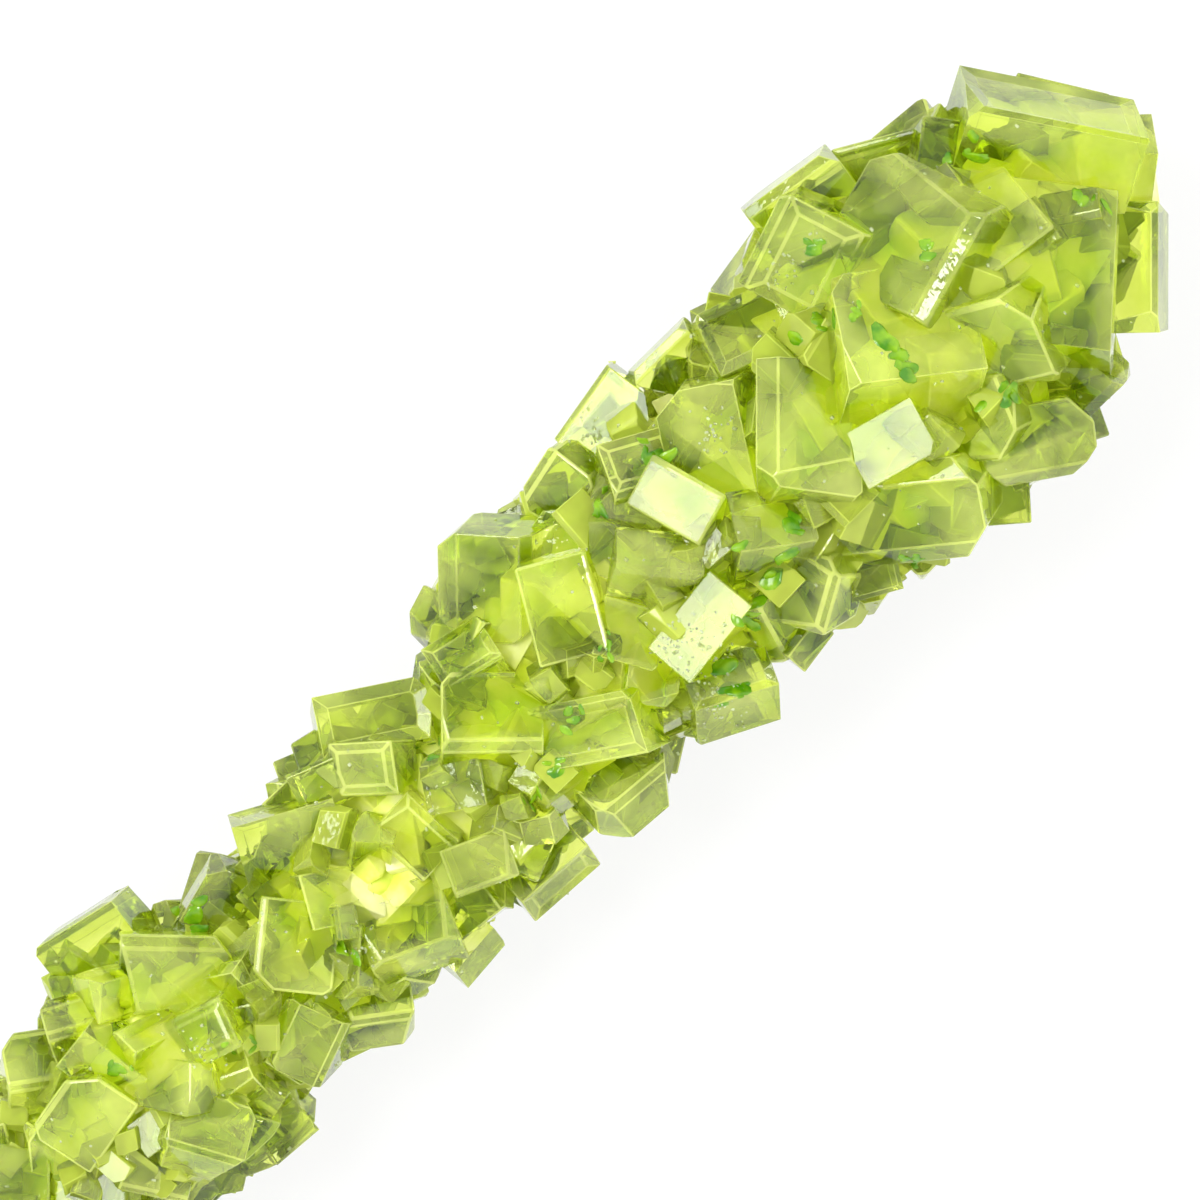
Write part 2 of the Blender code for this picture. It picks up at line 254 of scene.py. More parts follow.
def cloudy_finish(name, deep, mid, pale, roughness, clearness):
    """Milky lime sugar: patches of paler and deeper colour, and a wet, uneven gloss."""
    material, sugar = new_material(name)
    place = node_of(material, "ShaderNodeTexCoord")
    patches = node_of(material, "ShaderNodeTexNoise", Scale=260.0, Detail=4.0, Roughness=0.55)
    join(material, place.outputs["Object"], patches.inputs["Vector"])
    tint = node_of(material, "ShaderNodeAttribute", attribute_name="tint")
    shade = node_of(material, "ShaderNodeMath", operation="MULTIPLY_ADD")
    join(material, tint.outputs["Fac"], shade.inputs[0])
    shade.inputs[1].default_value = 0.25
    join(material, patches.outputs["Fac"], shade.inputs[2])
    tone = node_of(material, "ShaderNodeValToRGB")
    tone.color_ramp.elements[0].position = 0.38
    tone.color_ramp.elements[0].color = deep
    tone.color_ramp.elements[1].position = 0.85
    tone.color_ramp.elements[1].color = pale
    middle = tone.color_ramp.elements.new(0.6)
    middle.color = mid
    join(material, shade.outputs["Value"], tone.inputs["Fac"])
    join(material, tone.outputs["Color"], sugar.inputs["Base Color"])
    relief = node_of(material, "ShaderNodeBump", Strength=0.3, Distance=0.2 * MM)
    join(material, patches.outputs["Fac"], relief.inputs["Height"])
    join(material, relief.outputs["Normal"], sugar.inputs["Normal"])
    sugar.inputs["Roughness"].default_value = roughness
    sugar.inputs["Transmission Weight"].default_value = clearness
    return material


heart_sugar = cloudy_finish("milky_lime_sugar", LIME_DEEP, LIME, LIME_PALE, 0.4, 0.0)
heart = add_piece("fused_heart", fused_heart(), heart_sugar, 60)

# ---------------------------------------------------------------------------------------------
# Seed crystals: hundreds of small cloudy crystals grown straight on the heart, turned any way.
# They fill the crust from inside and give the clear crystals over them something to show.
# ---------------------------------------------------------------------------------------------
# Sugar crystals are monoclinic: unit cell edges in angstroms and the angle between a and c
CELL_A, CELL_B, CELL_C = 10.86, 8.70, 7.76
CELL_ANGLE = math.radians(102.94)


def lattice_face(h, k, l):
    """Outward direction of a crystal face, from its Miller indices."""
    along_a = h / (CELL_A * math.sin(CELL_ANGLE)) - l / (CELL_C * math.tan(CELL_ANGLE))
    return Vector((along_a, k / CELL_B, l / CELL_C)).normalized()


def both_ways(faces):
    return [face * sign for face in faces for sign in (1, -1)]


LONG_EDGE_FACES = both_ways([lattice_face(1, 0, 1), lattice_face(1, 0, -1)])
END_FACES = both_ways([lattice_face(1, 1, 0), lattice_face(1, -1, 0)])
CORNER_FACES = both_ways([lattice_face(0, 1, 1), lattice_face(0, -1, 1)])
# How a crystal is cut: for its long edges, its ends and its corners, the chance of each cut and
# the most that it takes off
HABITS = {
    "block": ((0.4, 0.10), (0.3, 0.12), (0.2, 0.10)),
    "plain": ((0.5, 0.16), (0.45, 0.30), (0.3, 0.22)),
    "gem": ((0.8, 0.20), (0.8, 0.36), (0.5, 0.26)),
}


def slice_off(crystal, point, normal):
    """Cut away what lies beyond a plane and close the cut with one flat face."""
    parts = crystal.verts[:] + crystal.edges[:] + crystal.faces[:]
    cut = bmesh.ops.bisect_plane(
        crystal, geom=parts, dist=1e-4, plane_co=point, plane_no=normal, clear_outer=True,
    )
    rim = [part for part in cut["geom_cut"] if isinstance(part, bmesh.types.BMEdge)]
    if rim:
        bmesh.ops.edgeloop_fill(crystal, edges=rim)


def sugar_crystal(length, breadth, depth, habit, rng):
    """A closed crystal, its length along Y and its large faces along Z."""
    shear = -math.tan(CELL_ANGLE - math.pi / 2) * depth
    crystal = bmesh.new()
    bmesh.ops.create_cube(crystal, size=1.0)
    for vert in crystal.verts:
        vert.co = Vector((vert.co.x * breadth + vert.co.z * shear, vert.co.y * length, vert.co.z * depth))
    corners = [vert.co.copy() for vert in crystal.verts]
    for faces, (chance, deepest) in zip((LONG_EDGE_FACES, END_FACES, CORNER_FACES), HABITS[habit]):
        for face in faces:
            cut = rng.uniform(0.03, deepest)
            if rng.random() > chance:
                continue
            reach = max(face.dot(corner) for corner in corners) * (1.0 - cut)
            slice_off(crystal, face * reach, face)
    bmesh.ops.dissolve_degenerate(crystal, dist=0.05, edges=crystal.edges)
    bmesh.ops.recalc_face_normals(crystal, faces=crystal.faces)
    return crystal


def frame_faces(crystal, rng, count):
    """Step the largest faces in by a thin ledge, as where a crystal's last layer stopped short."""
    largest = sorted(crystal.faces, key=lambda face: -face.calc_area())[:count + 2]
    for face in rng.sample(largest, min(count, len(largest))):
        ledge = math.sqrt(face.calc_area()) * rng.uniform(0.10, 0.18)
        bmesh.ops.inset_individual(
            crystal, faces=[face], thickness=ledge, depth=rng.choice((-0.22, 0.14)), use_even_offset=True,
        )


def round_edges(crystal, width, steps, wear):
    """Round every edge a little; wear says how frosted the rounding is, from 0 to 1."""
    worn = crystal.faces.layers.float.new("worn")
    rounding = bmesh.ops.bevel(
        crystal, geom=crystal.edges[:], offset=width, segments=steps, profile=0.5,
        affect="EDGES", clamp_overlap=True,
    )
    for face in rounding["faces"]:
        face[worn] = wear


def any_turn(rng):
    """A turn with no preferred direction."""
    axis = Vector([rng.gauss(0, 1) for _ in range(3)]).normalized()
    return Matrix.Rotation(rng.uniform(0, 2 * math.pi), 4, axis)


class Cluster:
    """Crystals that end up in one piece; cloud and tint vary from crystal to crystal."""

    def __init__(self):
        self.crystals = []

    def add(self, crystal, pose, cloud, tint, lowest=GROUND_GAP):
        crystal.transform(pose)
        lift = max(0.0, lowest - min(vert.co.z for vert in crystal.verts))
        bmesh.ops.translate(crystal, vec=(0.0, 0.0, lift), verts=crystal.verts)
        bmesh.ops.scale(crystal, vec=(MM, MM, MM), verts=crystal.verts)
        layers = {
            crystal.verts.layers.float.new(name): value
            for name, value in (("cloud", cloud), ("tint", tint))
        }
        for vert in crystal.verts:
            for layer, value in layers.items():
                vert[layer] = value
        mesh = bpy.data.meshes.new("crystal")
        crystal.to_mesh(mesh)
        crystal.free()
        self.crystals.append(mesh)

    def loose(self):
        """All the crystals in one shape, each still closed in itself."""
        shape = bmesh.new()
        for mesh in self.crystals:
            shape.from_mesh(mesh)
        return shape


def grain_at(along):
    """Typical size of a crystal at a place along the crust: small on the stem, large in the clump."""
    share = min(1.0, max(0.0, (along - 45.0) / 35.0))
    return 4.0 + 2.8 * share


FILL_SINK = 0.48   # share of a crystal's size from the crust's outline down to its middle
SIZE_SHARES = ((1.0, 1.4), (0.8, 1.05), (0.7, 0.95))   # of length, breadth and depth
taken = []         # places and sizes of crystals already set, in millimetres


def scatter(cluster, rng, count, size_range, depth_under, spacing, habit, bevel, steps, clouds):
    """Set crystals of one size range wherever the crust still has room, turned any way."""
    tries_left = 30 * count
    while count and tries_left:
        tries_left -= 1
        along = rng.uniform(1.0, CRUST_LENGTH)
        angle = rng.uniform(0.0, 2 * math.pi)
        size = grain_at(along) * rng.uniform(*size_range)
        along -= size * max(0.0, along / CRUST_LENGTH - 0.5)
        reach = reach_at(along, -math.cos(angle)) * rng.uniform(0.92, 1.0)
        out = max(0.5, reach - depth_under - FILL_SINK * size)
        place = crust_frame @ Vector((along, out * math.cos(angle), out * math.sin(angle)))
        if any((place - other).length < spacing * (size + wide) / 2 for other, wide in taken):
            continue
        length, breadth, depth = (size * rng.uniform(*share) for share in SIZE_SHARES)
        crystal = sugar_crystal(length, breadth, depth, habit, rng)
        round_edges(crystal, bevel * size / 5, steps, rng.random())
        cluster.add(crystal, Matrix.Translation(place) @ any_turn(rng), rng.uniform(*clouds), rng.random())
        taken.append((place, size))
        count -= 1


seed_crystals = Cluster()
taken_on_crust, taken = taken, []
scatter(seed_crystals, random.Random(5), 420, (0.55, 0.9), 2.4, 0.48, "plain", 0.35, 2, (0.0, 1.0))
taken = taken_on_crust
SEED_DEEP = srgb(210, 231, 46)
SEED_LIME = srgb(234, 242, 106)
SEED_PALE = srgb(250, 249, 198)
seed_sugar = cloudy_finish("cloudy_seed_sugar", SEED_DEEP, SEED_LIME, SEED_PALE, 0.3, 0.0)
seeds = add_piece("seed_crystals", seed_crystals.loose(), seed_sugar)

# ---------------------------------------------------------------------------------------------
# The large crystals: clear lime sugar, each grown where it had room. The ones with the most
# character are listed one by one, from the blocks at the tip down to the low end; three level ones
# underneath carry the candy.
# ---------------------------------------------------------------------------------------------
# Rows: place along, place across, length, breadth, depth, turn, tip, roll, habit, cloud
TIP = [
    (94.5, -2.5, 11.0, 8.5, 7.0, -55, 0, 28, "block", 0.5),
    (93.5, 5.5, 8.0, 6.0, 5.5, 46, 8, -10, "gem", 0.35),
    (90.0, 4.0, 10.5, 7.0, 7.5, 42, -10, -6, "block", 0.45),
    (90.5, -5.5, 5.5, 4.5, 4.0, -54, 5, 10, "block", 0.30),
    (85.5, -3.0, 9.0, 8.0, 7.0, 20, 5, 0, "gem", 0.60),
    (85.5, 3.5, 7.0, 6.0, 6.0, -30, 8, 10, "plain", 0.55),
    (97.0, 1.5, 6.0, 5.0, 5.0, 40, 20, 10, "plain", 0.40),
]
CLUMP = [
    (82.5, -10.0, 6.5, 5.0, 4.5, -8, 10, 10, "gem", 0.05),
    (88.0, -8.5, 6.0, 3.5, 3.5, -30, 0, 0, "block", 0.10),
    (81.0, -7.5, 6.5, 6.0, 5.0, 19, 8, 8, "block", 0.35),
    (74.5, -7.0, 5.5, 4.0, 4.0, -19, 0, 12, "block", 0.45),
    (80.5, 0.0, 8.5, 7.0, 6.0, -35, 6, 0, "plain", 0.65),
    (73.0, 0.0, 8.0, 6.5, 6.0, 46, -4, 0, "gem", 0.60),
    (76.5, 3.5, 4.8, 3.6, 4.0, -44, 0, 0, "window", 0.15),
    (86.5, 8.5, 5.5, 5.0, 4.5, 0, 10, 0, "plain", 0.30),
    (82.5, 9.5, 7.0, 5.0, 4.5, -34, 0, 10, "gem", 0.15),
    (78.5, 10.5, 4.0, 3.5, 3.5, -40, 10, 0, "block", 0.30),
    (74.5, 7.5, 10.0, 6.5, 5.5, -38, 6, 6, "gem", 0.50),
    (69.0, -4.0, 7.0, 5.0, 4.5, 58, 0, 6, "plain", 0.50),
]
NECK = [
    (70.0, -8.5, 5.0, 4.2, 4.0, 0, 15, 10, "gem", 0.05),
    (65.0, -9.0, 5.6, 4.8, 4.2, -19, 0, 8, "window", 0.05),
    (60.5, -8.0, 4.5, 3.8, 3.5, 12, 16, 0, "gem", 0.05),
    (64.0, -5.5, 4.5, 3.5, 3.5, -27, 0, 10, "block", 0.35),
    (64.5, -2.5, 5.2, 3.5, 3.5, 78, 0, 0, "window", 0.15),
    (67.0, 2.5, 5.0, 4.0, 4.0, -30, 4, 0, "plain", 0.45),
    (69.5, 8.5, 3.8, 2.6, 2.8, -29, 0, 0, "block", 0.15),
    (67.0, 6.5, 5.0, 4.5, 4.0, 30, 6, 0, "gem", 0.25),
    (64.0, 8.0, 3.0, 2.6, 2.6, 10, 0, 0, "block", 0.10),
    (60.5, 3.5, 6.0, 3.4, 4.0, -22, 0, 14, "window", 0.35),
    (59.0, 7.0, 5.4, 4.8, 4.2, -25, 0, 6, "block", 0.20),
    (61.0, -1.0, 5.4, 2.6, 3.0, -44, 0, 0, "block", 0.30),
    (55.5, -3.0, 6.2, 4.8, 4.5, 60, 0, 0, "plain", 0.65),
]
STEM = [
    (53.5, -7.0, 6.8, 6.0, 5.0, 46, 8, 0, "gem", 0.05),
    (48.5, -4.5, 4.0, 3.2, 3.0, -10, 0, 0, "block", 0.15),
    (47.0, -1.0, 6.2, 4.8, 4.5, -44, 0, 0, "plain", 0.65),
    (51.5, 3.5, 7.2, 4.2, 4.2, -32, 5, 8, "block", 0.40),
    (50.0, 7.0, 5.6, 4.6, 4.0, 0, 10, 0, "gem", 0.10),
    (41.5, -6.0, 7.0, 4.0, 4.0, -33, 0, 12, "block", 0.05),
    (37.0, -5.5, 3.2, 2.8, 2.8, -20, 0, 0, "block", 0.10),
    (40.0, -4.0, 4.2, 3.4, 3.6, -40, 5, 0, "block", 0.50),
    (43.0, 7.5, 5.4, 3.2, 3.2, -3, 0, 0, "block", 0.05),
    (36.0, 7.5, 3.6, 2.8, 2.8, 5, 0, 0, "block", 0.05),
    (40.5, 4.5, 4.2, 3.2, 3.4, -24, 0, 0, "plain", 0.40),
    (34.5, 4.5, 5.8, 4.2, 4.0, -24, 5, 0, "plain", 0.50),
    (33.0, -4.5, 6.4, 4.8, 4.4, -28, 5, 6, "block", 0.35),
    (29.0, 0.5, 5.6, 5.0, 4.6, 40, 0, 0, "plain", 0.60),
    (27.5, -5.0, 4.2, 3.6, 3.4, 15, 0, 8, "plain", 0.40),
]
LOW_END = [
    (20.0, -7.5, 6.0, 5.4, 4.8, -12, 0, 8, "block", 0.15),
    (22.5, -3.5, 7.4, 5.2, 4.6, -46, 4, 0, "plain", 0.30),
    (21.0, 0.0, 5.6, 3.4, 3.6, -47, 0, 0, "window", 0.20),
    (16.0, -5.5, 3.8, 2.8, 3.0, -25, 0, 0, "gem", 0.10),
    (12.0, -5.0, 4.6, 3.8, 3.6, -30, 5, 0, "plain", 0.30),
    (29.5, 6.5, 4.5, 3.8, 3.6, -34, 0, 0, "gem", 0.10),
    (25.5, 5.0, 4.6, 4.2, 4.0, 20, 5, 0, "plain", 0.35),
    (20.0, 8.0, 3.4, 2.8, 2.8, -4, 0, 0, "block", 0.05),
    (17.0, 4.5, 5.2, 4.2, 4.0, -60, 5, 0, "gem", 0.15),
    (13.0, -1.0, 5.4, 4.6, 4.4, 10, 0, 0, "plain", 0.60),
    (8.5, 3.0, 5.5, 4.5, 4.2, -40, 0, 0, "plain", 0.45),
    (5.5, -3.0, 5.0, 4.2, 4.0, 60, 5, 0, "plain", 0.40),
]
# Level crystals underneath: place along, across, length, breadth, turn
FEET = [(83.0, -4.5, 6.5, 5.5, 25), (81.0, 4.5, 6.5, 5.5, -40), (12.0, 0.0, 6.0, 5.0, 10)]
FOOT_DEPTH = 6.0
WINDOW_TILT = Vector((-0.11, 0.20, 0.97))   # the way that the brightest faces look
GLARE_ANGLE = math.radians(11)              # other large faces look at least this far from it
GLARE_ESCAPE = math.radians(14)             # lean given to a face that would be too near to it
LEAST_LEAN, MOST_LEAN = 4, 16               # degrees that a crystal leans from its row's tip and roll
BLOCK_SINK = 0.42                           # share of the depth from the outline down to the middle


def set_block(cluster, rng, along, across, length, breadth, depth, turn, tip, roll, habit, cloud):
    """Set one crystal from a listed row on the upper side of the crust."""
    reach = reach_at(along, across / 12.0)
    top = math.sqrt(max(0.0, reach ** 2 - across ** 2))
    facing = Matrix.Rotation(math.radians(turn - 90), 4, "Z")
    if habit == "window":
        facing = WINDOW_TILT.to_track_quat("Z", "Y").to_matrix().to_4x4() @ facing
        habit = "block"
        tip, roll = 0.0, 0.0
    else:
        tip += rng.choice((-1, 1)) * rng.uniform(LEAST_LEAN, MOST_LEAN)
        roll += rng.choice((-1, 1)) * rng.uniform(LEAST_LEAN, MOST_LEAN)
    facing = facing @ Matrix.Rotation(math.radians(tip), 4, "X")
    facing = facing @ Matrix.Rotation(math.radians(roll), 4, "Y")
    outward = facing.to_3x3() @ Vector((0.0, 0.0, 1.0))
    if tip and outward.angle(WINDOW_TILT) < GLARE_ANGLE:
        facing = facing @ Matrix.Rotation(math.radians(-2 * tip), 4, "X")
        facing = facing @ Matrix.Rotation(-GLARE_ESCAPE, 4, "Y")
    crystal = sugar_crystal(length, breadth, depth, habit, rng)
    if habit == "block":
        frame_faces(crystal, rng, 2)
    round_edges(crystal, 0.10 + 0.012 * length, 2, rng.uniform(0.3, 1.0))
    place = Vector((along, -across, top - BLOCK_SINK * depth))
    cluster.add(crystal, crust_frame @ Matrix.Translation(place) @ facing, cloud, rng.random())
    taken.append((crust_frame @ place, (length + breadth) / 2))


def set_foot(cluster, rng, along, across, length, breadth, turn):
    crystal = sugar_crystal(length, breadth, FOOT_DEPTH, "plain", rng)
    round_edges(crystal, 0.15, 2, 0.5)
    centre = crust_frame @ Vector((along, -across, 0.0))
    place = Matrix.Translation((centre.x, centre.y, 0.5 * FOOT_DEPTH))
    cluster.add(crystal, place @ Matrix.Rotation(math.radians(turn), 4, "Z"), 0.3, rng.random(), 0.0)
    taken.append((place.translation, (length + breadth) / 2))


def clear_finish(name, body, milk, clearest, milkiest, roughness):
    """Clear lime sugar: glassy, with milky patches and thin veils, and faces that are faintly wavy."""
    material, sugar = new_material(name)
    place = node_of(material, "ShaderNodeTexCoord")
    cloud = node_of(material, "ShaderNodeAttribute", attribute_name="cloud")
    patches = node_of(material, "ShaderNodeTexNoise", Scale=260.0, Detail=3.0, Roughness=0.5)
    join(material, place.outputs["Object"], patches.inputs["Vector"])
    veils = node_of(
        material, "ShaderNodeTexNoise", noise_type="RIDGED_MULTIFRACTAL", Scale=330.0, Detail=3.0,
    )
    join(material, place.outputs["Object"], veils.inputs["Vector"])
    thin = node_of(material, "ShaderNodeMapRange")
    for socket, value in (("From Min", 0.55), ("From Max", 1.0), ("To Min", 0.0), ("To Max", 0.35)):
        thin.inputs[socket].default_value = value
    join(material, veils.outputs["Fac"], thin.inputs["Value"])
    milky = node_of(material, "ShaderNodeMath", operation="ADD")
    join(material, cloud.outputs["Fac"], milky.inputs[0])
    join(material, patches.outputs["Fac"], milky.inputs[1])
    veiled = node_of(material, "ShaderNodeMath", operation="ADD")
    join(material, milky.outputs["Value"], veiled.inputs[0])
    join(material, thin.outputs["Result"], veiled.inputs[1])
    worn = node_of(material, "ShaderNodeAttribute", attribute_name="worn")
    both = node_of(material, "ShaderNodeMath", operation="MULTIPLY_ADD")
    join(material, worn.outputs["Fac"], both.inputs[0])
    both.inputs[1].default_value = 0.5
    join(material, veiled.outputs["Value"], both.inputs[2])
    clearness = node_of(material, "ShaderNodeMapRange")
    for socket, value in (("From Min", 0.72), ("From Max", 1.5), ("To Min", clearest), ("To Max", milkiest)):
        clearness.inputs[socket].default_value = value
    join(material, both.outputs["Value"], clearness.inputs["Value"])
    join(material, clearness.outputs["Result"], sugar.inputs["Transmission Weight"])
    tone = node_of(material, "ShaderNodeValToRGB")
    tone.color_ramp.elements[0].position = 0.55
    tone.color_ramp.elements[0].color = body
    tone.color_ramp.elements[1].position = 0.9
    tone.color_ramp.elements[1].color = milk
    join(material, both.outputs["Value"], tone.inputs["Fac"])
    join(material, tone.outputs["Color"], sugar.inputs["Base Color"])
    waves = node_of(material, "ShaderNodeTexNoise", Scale=520.0, Detail=3.0, Roughness=0.5)
    join(material, place.outputs["Object"], waves.inputs["Vector"])
    relief = node_of(material, "ShaderNodeBump", Strength=0.2, Distance=0.15 * MM)
    join(material, waves.outputs["Fac"], relief.inputs["Height"])
    join(material, relief.outputs["Normal"], sugar.inputs["Normal"])
    sugar.inputs["Roughness"].default_value = roughness
    sugar.inputs["IOR"].default_value = 1.45
    return material


def fused(cluster, name, material):
    """One skin round all the crystals of a cluster, without the pockets closed in between them."""
    blanks = bpy.data.collections.new("blanks")
    for mesh in cluster.crystals[1:]:
        blanks.objects.link(bpy.data.objects.new("blank", mesh))
    body = bpy.data.objects.new("body", cluster.crystals[0])
    bpy.context.scene.collection.objects.link(body)
    union = body.modifiers.new("Fused", "BOOLEAN")
    union.operation = "UNION"
    union.operand_type = "COLLECTION"
    union.collection = blanks
    bpy.context.view_layer.update()
    evaluated = body.evaluated_get(bpy.context.evaluated_depsgraph_get())
    skin = bmesh.new()
    skin.from_mesh(bpy.data.meshes.new_from_object(evaluated))
    for blank in list(blanks.objects) + [body]:
        bpy.data.objects.remove(blank)
    bpy.data.collections.remove(blanks)
    waiting, groups = set(skin.faces), []
    while waiting:
        group = [waiting.pop()]
        for face in group:
            near = {other for edge in face.edges for other in edge.link_faces if other in waiting}
            waiting -= near
            group.extend(near)
        groups.append(group)
    outer = max(groups, key=len)
    pockets = [face for group in groups if group is not outer for face in group]
    bmesh.ops.delete(skin, geom=pockets, context="FACES")
    return add_piece(name, skin, material)


CLEAR_LIME = srgb(250, 253, 208)
CLOUDY_LIME = srgb(226, 236, 124)
clear_sugar = clear_finish("clear_lime_sugar", CLEAR_LIME, CLOUDY_LIME, 1.0, 0.4, 0.02)
absorption = node_of(clear_sugar, "ShaderNodeVolumeAbsorption", Density=240.0)
absorption.inputs["Color"].default_value = (0.905, 0.974, 0.0, 1.0)
clear_output = clear_sugar.node_tree.nodes["Material Output"]
join(clear_sugar, absorption.outputs["Volume"], clear_output.inputs["Volume"])

large = Cluster()
rng = random.Random(31)
for row in TIP + CLUMP + NECK + STEM + LOW_END:
    set_block(large, rng, *row)
for foot in FEET:
    set_foot(large, rng, *foot)
scatter(large, rng, 170, (0.75, 1.1), 0.2, 0.68, "plain", 0.14, 1, (0.0, 0.6))
large_crystals = fused(large, "large_crystals", clear_sugar)
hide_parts("crystals")

# ---------------------------------------------------------------------------------------------
# Small crystals in the gaps between the large ones, milkier and a little deeper in colour.
# ---------------------------------------------------------------------------------------------
small = Cluster()
scatter(small, rng, 380, (0.36, 0.58), 0.0, 0.52, "plain", 0.12, 1, (0.2, 0.9))
SMALL_CLEAR_LIME = srgb(245, 251, 172)
SMALL_CLOUDY_LIME = srgb(218, 233, 92)
milky_sugar = clear_finish(
    "milky_lime_sugar_small", SMALL_CLEAR_LIME, SMALL_CLOUDY_LIME, 0.85, 0.4, 0.04,
)
add_piece("small_crystals", small.loose(), milky_sugar)

# ---------------------------------------------------------------------------------------------
# Drops of the green syrup that the candy grew in, left in the nooks between crystals and dried
# there: deep green, lumpy and still sticky.
# ---------------------------------------------------------------------------------------------
# Rows: place along, place across, size
SYRUP_SPOTS = [
    (83.0, -8.0, 1.3), (79.5, -4.5, 1.7), (81.5, -3.5, 1.0), (81.0, 1.0, 1.8), (84.5, 6.0, 1.4),
    (87.5, -3.0, 1.0), (93.0, -6.0, 1.6), (97.0, 2.0, 1.2), (67.5, 3.5, 2.2), (65.0, 5.5, 1.6),
    (60.5, 8.0, 1.8), (70.5, 3.0, 1.3), (52.5, 2.0, 1.5), (50.0, 3.5, 1.0), (27.5, -5.0, 1.4),
    (62.5, -6.0, 1.2), (67.0, -6.0, 1.3), (47.5, 4.0, 1.0), (45.0, -2.5, 0.9), (38.0, 2.0, 1.0),
    (32.5, 2.5, 1.1), (24.5, 2.5, 1.0), (18.0, -1.5, 1.0), (74.0, 10.0, 1.2), (57.0, 0.5, 1.0),
]

DROPS_PER_SPOT = 5


def syrup_drop(size, rng):
    """A flattened lump with a knobbly surface."""
    drop = bmesh.new()
    bmesh.ops.create_icosphere(drop, subdivisions=3, radius=size / 2)
    offset = Vector([rng.uniform(-50, 50) for _ in range(3)])
    for vert in drop.verts:
        lumps = noise.noise(vert.co * (1.6 / size) + offset) * 0.7
        knobs = noise.noise(vert.co * 5.0 + offset) * 0.15
        vert.co *= 1.0 + (lumps + knobs)
    return drop


def surface_under(along, across, surfaces):
    """The topmost point of the crust at a place seen from above, and its normal."""
    above = (crust_frame @ Vector((along, -across, 40.0))) * MM
    best = None
    for surface in surfaces:
        hit, point, normal, _ = surface.ray_cast(above, Vector((0.0, 0.0, -1.0)))
        if hit and (best is None or point.z > best[0].z):
            best = (point, normal)
    return best


bpy.context.view_layer.update()
crust_pieces = [bpy.data.objects[name] for name in ("large_crystals", "small_crystals")]
drops = Cluster()
rng = random.Random(7)
for along, across, size in SYRUP_SPOTS:
    for _ in range(DROPS_PER_SPOT):
        drop_along = along + rng.gauss(0, 0.4) * size
        drop_across = across + rng.gauss(0, 0.4) * size
        found = surface_under(drop_along, drop_across, crust_pieces)
        if found is None:
            continue
        point, normal = found
        facing = normal.to_track_quat("Z", "Y").to_matrix().to_4x4()
        flat = Matrix.Diagonal((rng.uniform(0.8, 1.6), rng.uniform(0.5, 0.9), 0.18, 1.0))
        turn = Matrix.Rotation(rng.uniform(0, math.pi), 4, "Z")
        drop = syrup_drop(size * rng.uniform(0.35, 0.85), rng)
        drops.add(drop, Matrix.Translation(point / MM) @ facing @ turn @ flat, 0.0, rng.random())
syrup, gloss = new_material("dried_green_syrup")
place = node_of(syrup, "ShaderNodeTexCoord")
streaks = node_of(syrup, "ShaderNodeTexNoise", Scale=900.0, Detail=4.0)
join(syrup, place.outputs["Object"], streaks.inputs["Vector"])
tone = node_of(syrup, "ShaderNodeValToRGB")
tone.color_ramp.elements[0].position = 0.35
tone.color_ramp.elements[0].color = srgb(78, 150, 4)
tone.color_ramp.elements[1].position = 0.65
tone.color_ramp.elements[1].color = srgb(160, 208, 16)
join(syrup, streaks.outputs["Fac"], tone.inputs["Fac"])
join(syrup, tone.outputs["Color"], gloss.inputs["Base Color"])
relief = node_of(syrup, "ShaderNodeBump", Strength=0.3, Distance=0.1 * MM)
join(syrup, streaks.outputs["Fac"], relief.inputs["Height"])
join(syrup, relief.outputs["Normal"], gloss.inputs["Normal"])
gloss.inputs["Roughness"].default_value = 0.18
gloss.inputs["Transmission Weight"].default_value = 0.35
add_piece("syrup_drops", drops.loose(), syrup, 60)

# ---------------------------------------------------------------------------------------------
# Sugar grains: the last, finest crystals, stuck in frosty patches on some faces and scattered
# thinly over the rest. They are clear and nearly white.
# ---------------------------------------------------------------------------------------------
# Rows: place along, place across, spread and number of grains
FROST = [
    (61.0, 4.0, 2.2, 70), (59.5, 7.5, 2.0, 60), (80.0, -8.0, 1.4, 30), (65.5, -9.5, 1.2, 30),
    (71.0, -4.5, 1.6, 30), (33.0, 3.5, 1.4, 20), (22.5, 1.0, 1.4, 25),
]
STRAY_GRAINS = 260
GRAIN_SIZES = (0.07, 0.19)
LOWEST_GRAIN = 6 * MM         # grains are only on what looks up

grains = Cluster()
rng = random.Random(41)
grain_places = [
    (along + rng.gauss(0, spread / 2), across + rng.gauss(0, spread / 2))
    for along, across, spread, count in FROST for _ in range(count)
]
grain_places += [(rng.uniform(2, 97), rng.uniform(-10, 10)) for _ in range(STRAY_GRAINS)]
for along, across in grain_places:
    found = surface_under(along, across, crust_pieces)
    if found is None or found[0].z < LOWEST_GRAIN:
        continue
    size = rng.uniform(*GRAIN_SIZES)
    crystal = sugar_crystal(size * rng.uniform(1.0, 1.6), size, size * 0.8, "block", rng)
    pose = Matrix.Translation(found[0] / MM) @ any_turn(rng)
    grains.add(crystal, pose, rng.uniform(0.2, 0.8), rng.random())
frosty = clear_finish("frosty_sugar_grains", srgb(250, 253, 236), srgb(240, 248, 200), 0.9, 0.4, 0.08)
add_piece("sugar_grains", grains.loose(), frosty)

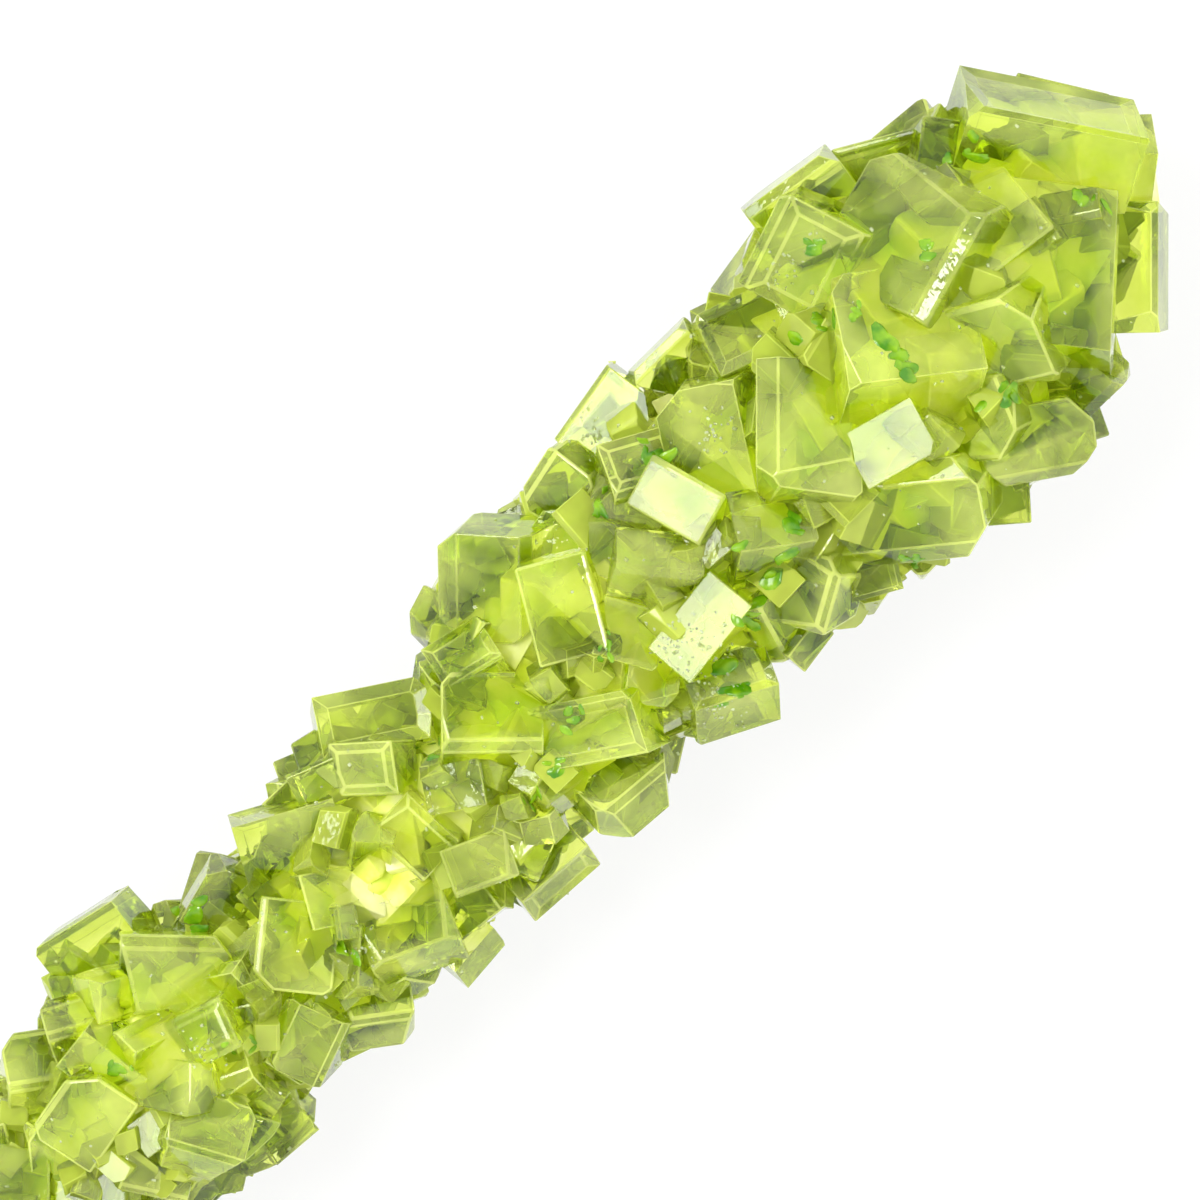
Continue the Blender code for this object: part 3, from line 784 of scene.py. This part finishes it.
# ---------------------------------------------------------------------------------------------
# The table and the light: a white sheet under the candy, a large soft lamp to one side, a
# smaller one opposite, and a pale room, darker straight overhead. The candy is seen from above.
# ---------------------------------------------------------------------------------------------
CAMERA_DISTANCE = 0.36      # above the stick's axis
FACE_HEIGHT = 6 * MM         # the shown faces lie this far above the axis
VIEW_WIDTH = 72.7 * MM
STICK_SLANT = math.radians(44.24)
TABLE_WIDTH = 6.0
PAPER_WHITE = (0.86, 0.86, 0.86, 1.0)
SHEET_GLOW = 0.8             # share of plain white in the sheet where it is only looked at
ROOM_BRIGHTNESS = 1.4

bpy.ops.mesh.primitive_plane_add(size=TABLE_WIDTH, location=(0.0, 0.0, 0.0))
table = bpy.context.active_object
table.name = "white_table"
sheet, paper = new_material("white_sheet")
paper.inputs["Base Color"].default_value = PAPER_WHITE
paper.inputs["Roughness"].default_value = 0.7
glow = node_of(sheet, "ShaderNodeEmission", Strength=1.0)
path = node_of(sheet, "ShaderNodeLightPath")
seen = node_of(sheet, "ShaderNodeMath", operation="MAXIMUM")
join(sheet, path.outputs["Is Camera Ray"], seen.inputs[0])
join(sheet, path.outputs["Is Transmission Ray"], seen.inputs[1])
seen_too = node_of(sheet, "ShaderNodeMath", operation="MAXIMUM")
join(sheet, seen.outputs["Value"], seen_too.inputs[0])
join(sheet, path.outputs["Is Glossy Ray"], seen_too.inputs[1])
share = node_of(sheet, "ShaderNodeMath", operation="MULTIPLY")
join(sheet, seen_too.outputs["Value"], share.inputs[0])
share.inputs[1].default_value = SHEET_GLOW
blend = node_of(sheet, "ShaderNodeMixShader")
join(sheet, share.outputs["Value"], blend.inputs["Fac"])
join(sheet, paper.outputs["BSDF"], blend.inputs[1])
join(sheet, glow.outputs["Emission"], blend.inputs[2])
join(sheet, blend.outputs["Shader"], sheet.node_tree.nodes["Material Output"].inputs["Surface"])
table.data.materials.append(sheet)

room = bpy.data.worlds.new("pale_room")
bpy.context.scene.world = room
room.use_nodes = True
sky = room.node_tree.nodes["Background"]
direction = node_of(room, "ShaderNodeTexCoord")
height = node_of(room, "ShaderNodeSeparateXYZ")
join(room, direction.outputs["Generated"], height.inputs["Vector"])
brightness = node_of(room, "ShaderNodeValToRGB")
brightness.color_ramp.elements[0].position = 0.8
brightness.color_ramp.elements[0].color = (1.0, 1.0, 1.0, 1.0)
brightness.color_ramp.elements[1].position = 0.96
brightness.color_ramp.elements[1].color = (0.3, 0.3, 0.3, 1.0)
join(room, height.outputs["Z"], brightness.inputs["Fac"])
join(room, brightness.outputs["Color"], sky.inputs["Color"])
sky.inputs["Strength"].default_value = ROOM_BRIGHTNESS


def add_lamp(name, place, width, depth, radiance, target):
    lamp = bpy.data.lights.new(name, "AREA")
    lamp.shape = "RECTANGLE"
    lamp.size, lamp.size_y = width, depth
    lamp.energy = radiance * width * depth * math.pi
    holder = bpy.data.objects.new(name, lamp)
    holder.location = place
    holder.rotation_mode = "QUATERNION"
    holder.rotation_quaternion = (target - Vector(place)).to_track_quat("-Z", "Y")
    bpy.context.scene.collection.objects.link(holder)


aim = Vector((crust_frame @ Vector((56.7, 1.8, 0.0))) * MM)
add_lamp("large_soft_lamp", aim + Vector((-0.10, 0.18, 0.42)), 0.20, 0.20, 10.5, aim)
add_lamp("small_soft_lamp", aim + Vector((0.22, -0.25, 0.35)), 0.06, 0.08, 22.0, aim)

right = Vector((math.cos(STICK_SLANT), -math.sin(STICK_SLANT), 0.0))
up = Vector((math.sin(STICK_SLANT), math.cos(STICK_SLANT), 0.0))
lens = bpy.data.cameras.new("camera")
lens.sensor_width = 36.0
lens.lens = lens.sensor_width * (CAMERA_DISTANCE - FACE_HEIGHT) / VIEW_WIDTH
lens.clip_start = 0.01
camera = bpy.data.objects.new("camera", lens)
bpy.context.scene.collection.objects.link(camera)
camera.matrix_world = Matrix((
    (right.x, up.x, 0.0, aim.x),
    (right.y, up.y, 0.0, aim.y),
    (0.0, 0.0, 1.0, aim.z + CAMERA_DISTANCE),
    (0.0, 0.0, 0.0, 1.0),
))
bpy.context.scene.camera = camera
bpy.context.scene.view_settings.view_transform = "Standard"
